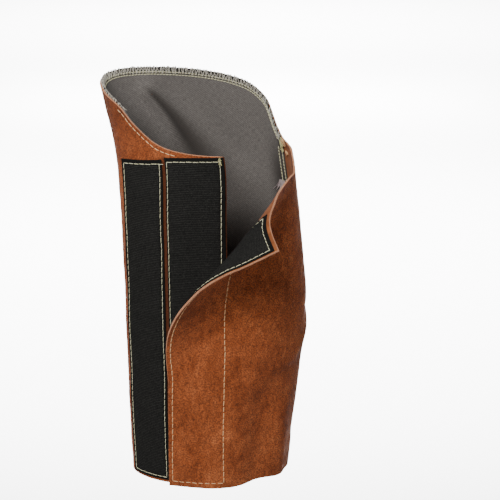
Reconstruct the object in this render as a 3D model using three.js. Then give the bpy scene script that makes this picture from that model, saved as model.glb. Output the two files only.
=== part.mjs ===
// A welding sleeve: one suede sheet wrapped into a tapered tube that opens down the front.
// Millimetres, +Z up. The origin is the middle of the wrist opening, on the arm's axis, and the
// opening faces -Y. The front corner of the flap is folded back like a lapel.
import * as THREE from "three";

// Overall sizes
const LENGTH = 361; // along the back, from the bottom edge to the top edge
const SPAN = 164; // from the left side to the right side at the widest
const DEPTH = 105; // from front to back at the deepest
const GIRTH = 470; // the sheet's width along the wrap near the top

// Plies, from inside to outside
const LEATHER = 1.8;
const LINING = 1.0;
const TAPE = 1.5;
const PLY_GAP = 0.35;

// Fastening strips on the sheet
const TAPE_WIDTH = 50;
const OUTER_TAPE_WIDTH = 40; // the underlap's second strip is narrower
const TAPE_SPACING = 3; // between the two strips of the underlap
const UNDERLAP_MARGIN = 1; // from the underlap's free edge to its first strip
const FLAP_MARGIN = 1.2; // from the flap's free edge to its strip
const HEM_MARGIN = 3; // from the bottom and top edges to every strip
const LAP_LIFT = LEATHER + 2 * TAPE + 4 * PLY_GAP; // the flap lies this far outside the underlap
const LINING_PROUD = 1; // the lining stands this far above the leather's top edge

// Table helpers: named columns, and a smooth curve through the rows
const table = (names, rows) =>
  Object.fromEntries(names.split(" ").map((name, i) => [name, rows.map((row) => row[i])]));

function slopeAt(xs, ys, i) {
  const a = Math.max(i - 1, 0);
  const b = Math.min(i + 1, xs.length - 1);
  return (ys[b] - ys[a]) / (xs[b] - xs[a]);
}

function curve(xs, ys, x) {
  const last = xs.length - 1;
  const at = Math.min(Math.max(x, xs[0]), xs[last]);
  let i = 0;
  while (i < last - 1 && at >= xs[i + 1]) i++;
  const h = xs[i + 1] - xs[i];
  const t = (at - xs[i]) / h;
  const rise = ys[i + 1] - ys[i];
  const m0 = slopeAt(xs, ys, i) * h;
  const m1 = slopeAt(xs, ys, i + 1) * h;
  return ys[i] + t * (m0 + t * (3 * rise - 2 * m0 - m1 + t * (m0 + m1 - 2 * rise)));
}

const smooth = (x) => {
  const t = Math.min(Math.max(x, 0), 1);
  return t * t * (3 - 2 * t);
};

const mix = (a, b, t) => a + (b - a) * t;

// Level sections. The four outermost points of each are shares of SPAN and DEPTH. fold and flap
// are the lengths round the tube, in shares of SPAN, from the left side to the underlap's free
// edge and to the flap's. square is how full the front left quarter is.
const SECTIONS = table("height leftX leftY frontX frontY rightX rightY backX backY fold flap square", [
  [0.0, -0.42, -0.071, 0.012, -0.462, 0.424, 0.119, 0.0, 0.462, 0.643, 0.322, 1.88],
  [0.166, -0.432, -0.071, 0.024, -0.462, 0.464, 0.081, 0.012, 0.5, 0.645, 0.333, 1.9],
  [0.416, -0.443, -0.071, 0.037, -0.452, 0.521, 0.043, 0.024, 0.538, 0.65, 0.348, 1.95],
  [0.665, -0.456, -0.071, 0.037, -0.452, 0.479, 0.024, 0.024, 0.538, 0.66, 0.351, 2.0],
  [0.831, -0.48, -0.052, 0.049, -0.443, 0.437, 0.005, 0.012, 0.538, 0.67, 0.351, 1.9],
  [1.0, -0.575, 0.138, 0.049, -0.433, 0.38, 0.043, -0.037, 0.5, 0.73, 0.351, 1.8],
]);
const FRONT_RIGHT_SQUARE = 2.0;
const BACK_SQUARE = 2.3;

// Soft folds of the sheet: a line on it from one end to the other, in shares of GIRTH and LENGTH,
// with its half width and its depth, inwards where negative, in shares of DEPTH.
const FOLDS = table("fromU fromZ toU toZ wide deep", [
  [0.37, 0.95, 0.46, 0.7, 0.1, -0.045],
  [0.43, 0.96, 0.52, 0.78, 0.13, 0.02],
  [0.655, 0.0, 0.66, 0.06, 0.07, 0.012],
  [0.7, 0.0, 0.74, 0.18, 0.08, 0.022],
  [0.757, 0.0, 0.795, 0.22, 0.13, -0.045],
  [0.6, 0.5, 0.66, 0.3, 0.16, -0.02],
]);

function foldDepth(u, z) {
  let sum = 0;
  FOLDS.wide.forEach((wide, i) => {
    const u0 = FOLDS.fromU[i] * GIRTH;
    const z0 = FOLDS.fromZ[i] * LENGTH;
    const du = FOLDS.toU[i] * GIRTH - u0;
    const dz = FOLDS.toZ[i] * LENGTH - z0;
    const t = Math.min(Math.max(((u - u0) * du + (z - z0) * dz) / (du * du + dz * dz), 0), 1);
    const away = Math.hypot(u - u0 - du * t, z - z0 - dz * t) / (wide * DEPTH);
    sum += FOLDS.deep[i] * DEPTH * Math.exp(-away * away);
  });
  return sum;
}

// The closed ring at one height, evenly spaced, starting at the left side and running round the
// back, the right side and the front: four superellipse quarters, slightly rounded together.
const RING_POINTS = 480;
const RING_SOFTEN = 5; // points on each side that a point is averaged with

function ring(z) {
  const at = (name, size) => curve(SECTIONS.height, SECTIONS[name], z / LENGTH) * size;
  const left = [at("leftX", SPAN), at("leftY", DEPTH)];
  const front = [at("frontX", SPAN), at("frontY", DEPTH)];
  const right = [at("rightX", SPAN), at("rightY", DEPTH)];
  const back = [at("backX", SPAN), at("backY", DEPTH)];
  const quarter = (side, end, square, turned) => {
    const points = [];
    for (let k = 0; k < 120; k++) {
      const angle = ((turned ? 120 - k : k) / 120) * (Math.PI / 2);
      const x = end[0] + (side[0] - end[0]) * Math.cos(angle) ** (2 / square);
      const y = side[1] + (end[1] - side[1]) * Math.sin(angle) ** (2 / square);
      points.push([x, y]);
    }
    return points;
  };
  const raw = [
    ...quarter(left, back, BACK_SQUARE, false),
    ...quarter(right, back, BACK_SQUARE, true),
    ...quarter(right, front, FRONT_RIGHT_SQUARE, false),
    ...quarter(left, front, at("square", 1), true),
  ];
  const even = spaced([...raw, raw[0]], RING_POINTS);
  const soft = even.map((_, i) => {
    const sum = [0, 0];
    for (let k = -RING_SOFTEN; k <= RING_SOFTEN; k++) {
      const p = even[(i + k + RING_POINTS) % RING_POINTS];
      sum[0] += p[0];
      sum[1] += p[1];
    }
    return sum.map((s) => s / (2 * RING_SOFTEN + 1));
  });
  const round = lengths([...soft, soft[0]]).at(-1);
  return { points: soft, round };
}

function lengths(points) {
  const out = [0];
  for (let i = 1; i < points.length; i++) {
    out.push(out[i - 1] + Math.hypot(points[i][0] - points[i - 1][0], points[i][1] - points[i - 1][1]));
  }
  return out;
}

function spaced(points, count) {
  const run = lengths(points);
  const out = [];
  let i = 0;
  for (let k = 0; k < count; k++) {
    const s = (run.at(-1) * k) / count;
    while (i < run.length - 2 && run[i + 1] < s) i++;
    const t = (s - run[i]) / (run[i + 1] - run[i]);
    out.push([mix(points[i][0], points[i + 1][0], t), mix(points[i][1], points[i + 1][1], t)]);
  }
  return out;
}

// The wrapped sheet at one height: from the underlap's free edge round the ring to the flap's,
// lifted outwards over the front so that the flap lies over the underlap and its strips.
const WRAP_STEPS = 560;
const LIFT_FROM = 0.48; // share of the ring where the sheet starts to lift

function level(z) {
  const { points, round } = ring(z);
  const at = (name) => curve(SECTIONS.height, SECTIONS[name], z / LENGTH) * SPAN;
  const fold = at("fold");
  const from = LIFT_FROM * round;
  const to = round - fold - 6;
  const base = (arc) => {
    const s = (((arc % round) + round) % round) / (round / RING_POINTS);
    const i = Math.floor(s) % RING_POINTS;
    const j = (i + 1) % RING_POINTS;
    return [mix(points[i][0], points[j][0], s - Math.floor(s)), mix(points[i][1], points[j][1], s - Math.floor(s))];
  };
  const path = [];
  for (let k = 0; k <= WRAP_STEPS; k++) {
    const arc = mix(-fold, round - at("flap"), k / WRAP_STEPS);
    const a = base(arc - 1);
    const b = base(arc + 1);
    const span = Math.hypot(b[0] - a[0], b[1] - a[1]);
    const out = LAP_LIFT * smooth((arc - from) / (to - from)) + foldDepth(arc + fold, z);
    const p = base(arc);
    path.push([p[0] - ((b[1] - a[1]) / span) * out, p[1] + ((b[0] - a[0]) / span) * out]);
  }
  const run = lengths(path);
  return { path, run, width: run.at(-1) };
}

const LEVEL_STEP = 5;
const LEVELS = Array.from({ length: LENGTH / LEVEL_STEP + 3 }, (_, i) => level(i * LEVEL_STEP));

function levelAt(z) {
  const s = Math.min(Math.max(z / LEVEL_STEP, 0), LEVELS.length - 1.001);
  return [Math.floor(s), s - Math.floor(s)];
}

const widthAt = (z) => {
  const [i, t] = levelAt(z);
  return mix(LEVELS[i].width, LEVELS[i + 1].width, t);
};

function alongLevel({ path, run }, u) {
  let low = 0;
  let high = run.length - 1;
  while (high - low > 1) {
    const middle = (low + high) >> 1;
    if (run[middle] <= u) low = middle;
    else high = middle;
  }
  const t = Math.min(Math.max((u - run[low]) / (run[high] - run[low]), 0), 1);
  return [mix(path[low][0], path[high][0], t), mix(path[low][1], path[high][1], t)];
}

// The sheet wrapped shut, at u along the wrap from the underlap's free edge and height z
function wrapped(u, z) {
  const [i, t] = levelAt(z);
  const a = alongLevel(LEVELS[i], u);
  const b = alongLevel(LEVELS[i + 1], u);
  return new THREE.Vector3(mix(a[0], b[0], t), mix(a[1], b[1], t), z);
}

// The flap's corner is folded back along a slanted line on the sheet, from its free edge up to
// the right side. Distances along the wrap are measured from the flap's free edge.
const CREASE_LOW = { in: 0, z: 0.2725 * LENGTH };
const CREASE_HIGH = { in: 0.262 * GIRTH, z: 0.776 * LENGTH };
const CREASE_RADIUS = 49;
const LAPEL_TURN = THREE.MathUtils.degToRad(28); // the lapel points this far right of the front

const creaseWidth = widthAt(CREASE_LOW.z);
const creaseRun = Math.hypot(CREASE_HIGH.in - CREASE_LOW.in, CREASE_HIGH.z - CREASE_LOW.z);
const creaseDir = [(CREASE_HIGH.in - CREASE_LOW.in) / creaseRun, (CREASE_HIGH.z - CREASE_LOW.z) / creaseRun];
const lapelDir = (() => {
  const low = wrapped(creaseWidth - CREASE_LOW.in, CREASE_LOW.z);
  const high = wrapped(creaseWidth - CREASE_HIGH.in, CREASE_HIGH.z);
  const along = high.sub(low).normalize();
  const forward = new THREE.Vector3(0, -1, 0).projectOnPlane(along).normalize();
  const sideways = new THREE.Vector3().crossVectors(along, forward).normalize();
  if (sideways.x < 0) sideways.negate();
  return forward.multiplyScalar(Math.cos(LAPEL_TURN)).addScaledVector(sideways, Math.sin(LAPEL_TURN));
})();

function sheetPoint(u, z) {
  const inward = creaseWidth - u - CREASE_LOW.in;
  const up = z - CREASE_LOW.z;
  const past = up * creaseDir[0] - inward * creaseDir[1];
  if (past <= 0) return wrapped(u, z);
  const along = inward * creaseDir[0] + up * creaseDir[1];
  const footU = creaseWidth - CREASE_LOW.in - along * creaseDir[0];
  const footZ = CREASE_LOW.z + along * creaseDir[1];
  const foot = wrapped(footU, footZ);
  const onward = wrapped(footU + 0.5, footZ).sub(wrapped(footU - 0.5, footZ));
  const start = onward.multiplyScalar(creaseDir[1]).add(new THREE.Vector3(0, 0, creaseDir[0])).normalize();
  const turn = start.angleTo(lapelDir);
  const inTurn = lapelDir.clone().addScaledVector(start, -start.dot(lapelDir)).normalize();
  const angle = Math.min(past / CREASE_RADIUS, turn);
  return foot
    .addScaledVector(start, CREASE_RADIUS * Math.sin(angle))
    .addScaledVector(inTurn, CREASE_RADIUS * (1 - Math.cos(angle)))
    .addScaledVector(lapelDir, Math.max(past - CREASE_RADIUS * turn, 0));
}

// Columns of the sheet are named by c, which is u near the underlap and keeps its distance from
// the flap's free edge near the flap, where the tube's taper makes the sheet narrower or wider.
const NARROW_FROM = 0.3 * GIRTH;
const NARROW_TO = 0.83 * GIRTH;
const columnU = (c, z) => c + (widthAt(z) - GIRTH) * smooth((c - NARROW_FROM) / (NARROW_TO - NARROW_FROM));

// A point of the sheet moved off it along its outward normal
function offSheet(c, z, out) {
  const h = 0.8;
  const width = widthAt(z);
  const u = Math.min(Math.max(columnU(c, z), 0), width);
  const right = sheetPoint(Math.min(u + h, width), z).sub(sheetPoint(Math.max(u - h, 0), z));
  const up = sheetPoint(u, z + h).sub(sheetPoint(u, z - h));
  return sheetPoint(u, z).addScaledVector(up.cross(right).normalize(), out);
}

// Height of the leather's top edge along the wrap, in shares of GIRTH and LENGTH
const TOP_EDGE = table("u z", [
  [0.0, 0.835],
  [0.07, 0.842],
  [0.121, 0.861],
  [0.16, 0.904],
  [0.183, 0.937],
  [0.21, 0.957],
  [0.255, 0.982],
  [0.3, 0.996],
  [0.349, 1.0],
  [0.42, 0.997],
  [0.492, 0.986],
  [0.553, 0.966],
  [0.579, 0.947],
  [0.6, 0.921],
  [0.62, 0.868],
  [0.638, 0.838],
  [0.664, 0.826],
  [0.687, 0.817],
  [0.709, 0.778],
  [0.75, 0.77],
  [0.8, 0.764],
  [0.83, 0.768],
  [0.86, 0.768],
  [0.93, 0.77],
  [1.0, 0.792],
]);
const topEdge = (c) => curve(TOP_EDGE.u, TOP_EDGE.z, c / GIRTH) * LENGTH;
const stripTop = (c) => Math.min(0.835 * LENGTH, topEdge(c)) - HEM_MARGIN;

// Rows of the sheet: the hem, the height of the strips, and what stands above them
const STRIP_ROWS = 16;
const CROWN_ROWS = 3;
const LAST_ROW = 1 + STRIP_ROWS + CROWN_ROWS;

function rowHeight(c, row, proud) {
  if (row === 0) return 0;
  if (row <= 1 + STRIP_ROWS) return mix(HEM_MARGIN, stripTop(c), (row - 1) / STRIP_ROWS);
  return mix(stripTop(c), topEdge(c) + proud, (row - 1 - STRIP_ROWS) / CROWN_ROWS);
}

// Columns of the sheet: each row ends a zone, in millimetres of c, with its number of steps
const LINING_END = 0.646 * GIRTH;
const ZONES = table("end steps", [
  [UNDERLAP_MARGIN, 1],
  [UNDERLAP_MARGIN + TAPE_WIDTH, 6],
  [UNDERLAP_MARGIN + TAPE_WIDTH + TAPE_SPACING, 1],
  [UNDERLAP_MARGIN + TAPE_WIDTH + TAPE_SPACING + OUTER_TAPE_WIDTH, 7],
  [0.28 * GIRTH, 6],
  [LINING_END, 16],
  [0.687 * GIRTH, 2],
  [0.709 * GIRTH, 2],
  [GIRTH - FLAP_MARGIN - TAPE_WIDTH, 7],
  [GIRTH - FLAP_MARGIN, 7],
  [GIRTH, 1],
]);

function columnsBetween(from, to) {
  const out = [];
  let start = 0;
  ZONES.end.forEach((end, zone) => {
    for (let k = 0; k < ZONES.steps[zone]; k++) out.push(mix(start, end, k / ZONES.steps[zone]));
    start = end;
  });
  out.push(GIRTH);
  return out.filter((c) => c > from - 0.01 && c < to + 0.01);
}

// One ply as a closed body: the sheet between two columns and two rows, from one distance off it
// to another
function ply(name, { from, to, firstRow = 0, lastRow = LAST_ROW, inner, outer, proud = 0 }, look) {
  const columns = columnsBetween(from, to);
  const rows = lastRow - firstRow + 1;
  const points = [];
  for (const out of [inner, outer]) {
    for (const c of columns) {
      for (let r = 0; r < rows; r++) {
        points.push(...offSheet(c, rowHeight(c, firstRow + r, proud), out).toArray());
      }
    }
  }
  const id = (side, i, r) => (side * columns.length + i) * rows + r;
  const faces = [];
  const quad = (a, b, c, d) => faces.push(a, b, c, a, c, d);
  const lastColumn = columns.length - 1;
  for (let i = 0; i < lastColumn; i++) {
    for (let r = 0; r < rows - 1; r++) {
      quad(id(0, i, r), id(0, i + 1, r), id(0, i + 1, r + 1), id(0, i, r + 1));
      quad(id(1, i, r), id(1, i, r + 1), id(1, i + 1, r + 1), id(1, i + 1, r));
    }
    quad(id(0, i, 0), id(1, i, 0), id(1, i + 1, 0), id(0, i + 1, 0));
    quad(id(0, i, rows - 1), id(0, i + 1, rows - 1), id(1, i + 1, rows - 1), id(1, i, rows - 1));
  }
  for (let r = 0; r < rows - 1; r++) {
    quad(id(0, 0, r), id(0, 0, r + 1), id(1, 0, r + 1), id(1, 0, r));
    quad(id(0, lastColumn, r), id(1, lastColumn, r), id(1, lastColumn, r + 1), id(0, lastColumn, r + 1));
  }
  const geometry = new THREE.BufferGeometry();
  geometry.setAttribute("position", new THREE.Float32BufferAttribute(points, 3));
  geometry.setIndex(faces);
  geometry.computeVertexNormals();
  const mesh = new THREE.Mesh(geometry, new THREE.MeshStandardMaterial(look));
  mesh.name = name;
  return mesh;
}

const SUEDE = { color: 0x7d4224, roughness: 0.92, metalness: 0 };
const TWILL = { color: 0x68635f, roughness: 0.95, metalness: 0 };
const RIBBED_TAPE = { color: 0x222221, roughness: 0.9, metalness: 0 };

const onLeather = { inner: LEATHER + PLY_GAP, outer: LEATHER + PLY_GAP + TAPE };
const stripRows = { firstRow: 1, lastRow: 1 + STRIP_ROWS };
const innerStrip = { from: UNDERLAP_MARGIN, to: UNDERLAP_MARGIN + TAPE_WIDTH };
const outerStrip = { from: innerStrip.to + TAPE_SPACING, to: innerStrip.to + TAPE_SPACING + OUTER_TAPE_WIDTH };
const flapStrip = { from: GIRTH - FLAP_MARGIN - TAPE_WIDTH, to: GIRTH - FLAP_MARGIN };

const sleeve = new THREE.Group();
sleeve.name = "welding_sleeve";
sleeve.add(
  ply("leather_shell", { from: 0, to: GIRTH, inner: 0, outer: LEATHER }, SUEDE),
  ply("lining", { from: 0, to: LINING_END, inner: -PLY_GAP - LINING, outer: -PLY_GAP, proud: LINING_PROUD }, TWILL),
  ply("hook_strip_inner", { ...innerStrip, ...stripRows, ...onLeather }, RIBBED_TAPE),
  ply("hook_strip_outer", { ...outerStrip, ...stripRows, ...onLeather }, RIBBED_TAPE),
  ply("loop_strip", { ...flapStrip, ...stripRows, inner: -PLY_GAP - TAPE, outer: -PLY_GAP }, RIBBED_TAPE),
);

export default sleeve;
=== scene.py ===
# A welding sleeve of suede split leather, with a grey twill lining and black closing strips.
import bpy
import numpy as np
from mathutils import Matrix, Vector


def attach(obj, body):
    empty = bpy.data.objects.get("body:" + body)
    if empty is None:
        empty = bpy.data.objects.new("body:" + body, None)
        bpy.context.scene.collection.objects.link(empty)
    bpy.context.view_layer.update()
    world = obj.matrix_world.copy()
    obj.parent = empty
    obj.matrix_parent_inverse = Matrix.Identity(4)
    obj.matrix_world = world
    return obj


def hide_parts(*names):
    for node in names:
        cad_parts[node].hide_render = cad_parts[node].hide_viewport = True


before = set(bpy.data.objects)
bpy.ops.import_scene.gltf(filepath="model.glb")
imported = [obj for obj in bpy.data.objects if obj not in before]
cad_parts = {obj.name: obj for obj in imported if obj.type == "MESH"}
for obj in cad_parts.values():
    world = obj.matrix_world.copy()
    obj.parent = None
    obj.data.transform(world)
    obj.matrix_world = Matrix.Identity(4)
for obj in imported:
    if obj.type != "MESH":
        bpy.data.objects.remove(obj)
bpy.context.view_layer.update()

MM = 0.001  # the sheet is worked out in millimetres, as the source does, and its meshes are metres


def add(name, data):
    """Object of the given data, put in the scene."""
    thing = bpy.data.objects.new(name, data)
    bpy.context.scene.collection.objects.link(thing)
    return thing


# Camera at the photograph's viewing angle
ELEVATION = np.radians(16.5)
DISTANCE = 1.4
TARGET = np.array([0.037, -0.0075, 0.208])
LENS = 113.9

camera_data = bpy.data.cameras.new("camera")
camera_data.lens, camera_data.sensor_width, camera_data.clip_end = LENS, 36.0, 100.0
camera = add("camera", camera_data)
camera.location = TARGET - DISTANCE * np.array([0, np.cos(ELEVATION), -np.sin(ELEVATION)])
camera.rotation_euler = (np.pi / 2 - ELEVATION, 0, 0)
bpy.context.scene.camera = camera


# Sizes, as in the source
LENGTH, SPAN, DEPTH, GIRTH = 361.0, 164.0, 105.0, 470.0
LEATHER, LINING, TAPE, PLY_GAP = 1.8, 1.0, 1.5, 0.35
TAPE_WIDTH, OUTER_TAPE_WIDTH, TAPE_SPACING = 50.0, 40.0, 3.0
UNDERLAP_MARGIN, FLAP_MARGIN, HEM_MARGIN = 1.0, 1.2, 3.0
LAP_LIFT = LEATHER + 2 * TAPE + 4 * PLY_GAP
LINING_PROUD = 1.0
LINING_END = 0.646 * GIRTH


def table(names, rows):
    """Rows of numbers as named columns."""
    return {name: np.array([row[i] for row in rows], float) for i, name in enumerate(names.split())}


def curve(xs, ys, x):
    """Cubic through the points (xs, ys) whose slope at each is the slope between its neighbours."""
    n = len(xs)
    low, high = np.maximum(np.arange(n) - 1, 0), np.minimum(np.arange(n) + 1, n - 1)
    slope = (ys[high] - ys[low]) / (xs[high] - xs[low])
    x = np.clip(x, xs[0], xs[-1])
    i = np.clip(np.searchsorted(xs, x, side="right") - 1, 0, n - 2)
    h = xs[i + 1] - xs[i]
    t, rise = (x - xs[i]) / h, ys[i + 1] - ys[i]
    m0, m1 = slope[i] * h, slope[i + 1] * h
    return ys[i] + t * (m0 + t * (3 * rise - 2 * m0 - m1 + t * (m0 + m1 - 2 * rise)))


def smooth(x):
    """Zero below 0, one above 1, and the cubic 3x^2 - 2x^3 between them."""
    t = np.clip(x, 0, 1)
    return t * t * (3 - 2 * t)


def unit(v):
    """Vectors of length one."""
    return v / np.linalg.norm(v, axis=-1, keepdims=True)


# Level sections, soft folds and top edge of the sheet, as in the source
SECTIONS = table("height leftX leftY frontX frontY rightX rightY backX backY fold flap square", [
    [0.0, -0.42, -0.071, 0.012, -0.462, 0.424, 0.119, 0.0, 0.462, 0.643, 0.322, 1.88],
    [0.166, -0.432, -0.071, 0.024, -0.462, 0.464, 0.081, 0.012, 0.5, 0.645, 0.333, 1.9],
    [0.416, -0.443, -0.071, 0.037, -0.452, 0.521, 0.043, 0.024, 0.538, 0.65, 0.348, 1.95],
    [0.665, -0.456, -0.071, 0.037, -0.452, 0.479, 0.024, 0.024, 0.538, 0.66, 0.351, 2.0],
    [0.831, -0.48, -0.052, 0.049, -0.443, 0.437, 0.005, 0.012, 0.538, 0.67, 0.351, 1.9],
    [1.0, -0.575, 0.138, 0.049, -0.433, 0.38, 0.043, -0.037, 0.5, 0.73, 0.351, 1.8],
])
FRONT_RIGHT_SQUARE, BACK_SQUARE = 2.0, 2.3
FOLDS = table("fromU fromZ toU toZ wide deep", [
    [0.37, 0.95, 0.46, 0.7, 0.1, -0.045],
    [0.43, 0.96, 0.52, 0.78, 0.13, 0.02],
    [0.655, 0.0, 0.66, 0.06, 0.07, 0.012],
    [0.7, 0.0, 0.74, 0.18, 0.08, 0.022],
    [0.757, 0.0, 0.795, 0.22, 0.13, -0.045],
    [0.6, 0.5, 0.66, 0.3, 0.16, -0.02],
])
TOP_EDGE = table("u z", [
    [0.0, 0.835], [0.07, 0.842], [0.121, 0.861], [0.16, 0.904], [0.183, 0.937], [0.21, 0.957],
    [0.255, 0.982], [0.3, 0.996], [0.349, 1.0], [0.42, 0.997], [0.492, 0.986], [0.553, 0.966],
    [0.579, 0.947], [0.6, 0.921], [0.62, 0.868], [0.638, 0.838], [0.664, 0.826], [0.687, 0.817],
    [0.709, 0.778], [0.75, 0.77], [0.8, 0.764], [0.83, 0.768], [0.86, 0.768], [0.93, 0.77],
    [1.0, 0.792],
])
QUARTER_POINTS, RING_POINTS, RING_SOFTEN, WRAP_STEPS, LEVEL_STEP = 120, 480, 5, 560, 5.0
LIFT_FROM, LIFT_MARGIN = 0.48, 6.0  # the lap rises from this share round to this far before the underlap


def fold_depth(u, z, folds=FOLDS):
    """Sum over the folds of depth times exp(-(distance from the fold's line / width)^2)."""
    total = 0.0
    for from_u, from_z, to_u, to_z, wide, deep in zip(*folds.values()):
        u0, z0 = from_u * GIRTH, from_z * LENGTH
        du, dz = to_u * GIRTH - u0, to_z * LENGTH - z0
        t = np.clip(((u - u0) * du + (z - z0) * dz) / (du * du + dz * dz), 0, 1)
        away = np.hypot(u - u0 - du * t, z - z0 - dz * t) / (wide * DEPTH)
        total = total + deep * DEPTH * np.exp(-away * away)
    return total


def run_length(points):
    """Length along a row of points, from 0 at the first."""
    return np.concatenate([[0.0], np.cumsum(np.hypot(*np.diff(points, axis=0).T))])


def section(name, z):
    """A column of SECTIONS at height z."""
    return float(curve(SECTIONS["height"], SECTIONS[name], z / LENGTH))


def ring(z):
    """Closed ring at height z: four superellipse quarters |x/a|^n + |y/b|^n = 1, evenly spaced and
    each point averaged with its neighbours. Gives the points and the length round."""
    def quarter(side, end, square, turned):
        k = np.arange(QUARTER_POINTS)
        angle = (QUARTER_POINTS - k if turned else k) / QUARTER_POINTS * np.pi / 2
        return np.stack([end[0] + (side[0] - end[0]) * np.abs(np.cos(angle)) ** (2 / square),
                         side[1] + (end[1] - side[1]) * np.sin(angle) ** (2 / square)], -1)

    left, front, right, back = [(section(side + "X", z) * SPAN, section(side + "Y", z) * DEPTH)
                                for side in ("left", "front", "right", "back")]
    raw = np.concatenate([
        quarter(left, back, BACK_SQUARE, False), quarter(right, back, BACK_SQUARE, True),
        quarter(right, front, FRONT_RIGHT_SQUARE, False),
        quarter(left, front, section("square", z), True)])
    raw = np.concatenate([raw, raw[:1]])
    run = run_length(raw)
    s = run[-1] * np.arange(RING_POINTS) / RING_POINTS
    even = np.stack([np.interp(s, run, raw[:, k]) for k in (0, 1)], -1)
    reach = range(-RING_SOFTEN, RING_SOFTEN + 1)
    soft = sum(np.roll(even, k, axis=0) for k in reach) / len(reach)
    return soft, run_length(np.concatenate([soft, soft[:1]]))[-1]


def level(z):
    """The wrapped sheet at height z: along the ring from the underlap's free edge to the flap's,
    moved outwards by the lap's smooth rise and the folds. Gives the path and its run."""
    points, whole = ring(z)
    fold, flap = section("fold", z) * SPAN, section("flap", z) * SPAN
    arc = np.linspace(-fold, whole - flap, WRAP_STEPS + 1)

    def base(a):
        s = (a % whole) / (whole / RING_POINTS)
        i, t = np.floor(s).astype(int) % RING_POINTS, (s - np.floor(s))[:, None]
        return points[i] * (1 - t) + points[(i + 1) % RING_POINTS] * t

    along = unit(base(arc + 1) - base(arc - 1))
    start, end = LIFT_FROM * whole, whole - fold - LIFT_MARGIN
    out = LAP_LIFT * smooth((arc - start) / (end - start)) + fold_depth(arc + fold, z)
    path = base(arc) + np.stack([-along[:, 1], along[:, 0]], -1) * out[:, None]
    return path, run_length(path)


LEVELS = [level(i * LEVEL_STEP) for i in range(int(LENGTH / LEVEL_STEP) + 3)]
WIDTHS = np.array([run[-1] for _, run in LEVELS])


def level_at(z):
    """The level below height z, and how far z is from it to the next, from 0 to 1."""
    s = np.clip(z / LEVEL_STEP, 0, len(LEVELS) - 1.001)
    return np.floor(s).astype(int), s - np.floor(s)


def width_at(z):
    """Girth of the sheet at height z."""
    i, t = level_at(z)
    return WIDTHS[i] * (1 - t) + WIDTHS[i + 1] * t


def wrapped(u, z):
    """The sheet wrapped shut: its level paths at run u, mixed between the two nearest levels."""
    u, z = np.broadcast_arrays(np.asarray(u, float), np.asarray(z, float))
    i, t = level_at(z)
    out = np.empty(u.shape + (3,))
    out[..., 2] = z
    for k in np.unique(i):
        m = i == k
        for axis in (0, 1):
            low, high = [np.interp(u[m], LEVELS[j][1], LEVELS[j][0][:, axis]) for j in (k, k + 1)]
            out[..., axis][m] = low * (1 - t[m]) + high * t[m]
    return out


# The flap's corner folds back along a slanted line on the sheet
CREASE_LOW, CREASE_HIGH = (0.0, 0.2725 * LENGTH), (0.262 * GIRTH, 0.776 * LENGTH)
CREASE_RADIUS, LAPEL_TURN = 49.0, np.radians(28)
CREASE_WIDTH = width_at(CREASE_LOW[1])
CREASE_DIR = unit(np.array(CREASE_HIGH) - np.array(CREASE_LOW))


def lapel_direction():
    """Square to the crease and as far forward as it can be, turned to the right about the crease."""
    low = wrapped(CREASE_WIDTH - CREASE_LOW[0], CREASE_LOW[1])
    along = unit(wrapped(CREASE_WIDTH - CREASE_HIGH[0], CREASE_HIGH[1]) - low)
    forward = np.array([0, -1.0, 0])
    forward = unit(forward - along * (forward @ along))
    sideways = unit(np.cross(along, forward))
    sideways = sideways if sideways[0] > 0 else -sideways
    return forward * np.cos(LAPEL_TURN) + sideways * np.sin(LAPEL_TURN)


LAPEL_DIR = lapel_direction()


def sheet_point(u, z):
    """The wrapped sheet up to the crease. Past it, a distance p square to the crease goes round an
    arc, radius times (start sin a + turn (1 - cos a)), and on straight along the lapel."""
    u, z = np.broadcast_arrays(np.asarray(u, float), np.asarray(z, float))
    inward, up = CREASE_WIDTH - u - CREASE_LOW[0], z - CREASE_LOW[1]
    past = up * CREASE_DIR[0] - inward * CREASE_DIR[1]
    out = wrapped(u, z)
    m = past > 0
    if not m.any():
        return out
    past, along = past[m], (inward * CREASE_DIR[0] + up * CREASE_DIR[1])[m]
    foot_u = CREASE_WIDTH - CREASE_LOW[0] - along * CREASE_DIR[0]
    foot_z = CREASE_LOW[1] + along * CREASE_DIR[1]
    start = (wrapped(foot_u + 0.5, foot_z) - wrapped(foot_u - 0.5, foot_z)) * CREASE_DIR[1]
    start = unit(start + np.array([0, 0, CREASE_DIR[0]]))
    dot = start @ LAPEL_DIR
    turn = np.arccos(np.clip(dot, -1, 1))
    in_turn = unit(LAPEL_DIR - start * dot[:, None])
    angle = np.minimum(past / CREASE_RADIUS, turn)
    rest = np.maximum(past - CREASE_RADIUS * turn, 0)
    arc = start * np.sin(angle)[:, None] + in_turn * (1 - np.cos(angle))[:, None]
    out[m] = wrapped(foot_u, foot_z) + CREASE_RADIUS * arc + LAPEL_DIR * rest[:, None]
    return out


NARROW_FROM, NARROW_TO = 0.3 * GIRTH, 0.83 * GIRTH


def column_u(c, z):
    """Column c of the sheet at height z: the taper's change of width goes in between the two ends."""
    return c + (width_at(z) - GIRTH) * smooth((c - NARROW_FROM) / (NARROW_TO - NARROW_FROM))


def top_edge(c):
    """Height of the leather's top edge at column c."""
    return curve(TOP_EDGE["u"], TOP_EDGE["z"], c / GIRTH) * LENGTH


# The underlap's two strips were set on a little out of level, and the flap's hangs below its edge
STRIP_TOP = table("u z", [[0.0, 0.8347], [0.1085, 0.8298], [0.115, 0.825], [0.2, 0.8155]])


def strip_top(c):
    """Height of the strips' tops, from the table on the underlap and below the edge on the flap."""
    on_underlap = curve(STRIP_TOP["u"], STRIP_TOP["z"], c / GIRTH) * LENGTH
    return np.where(c < GIRTH / 2, on_underlap, top_edge(c) - HEM_MARGIN)


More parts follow.
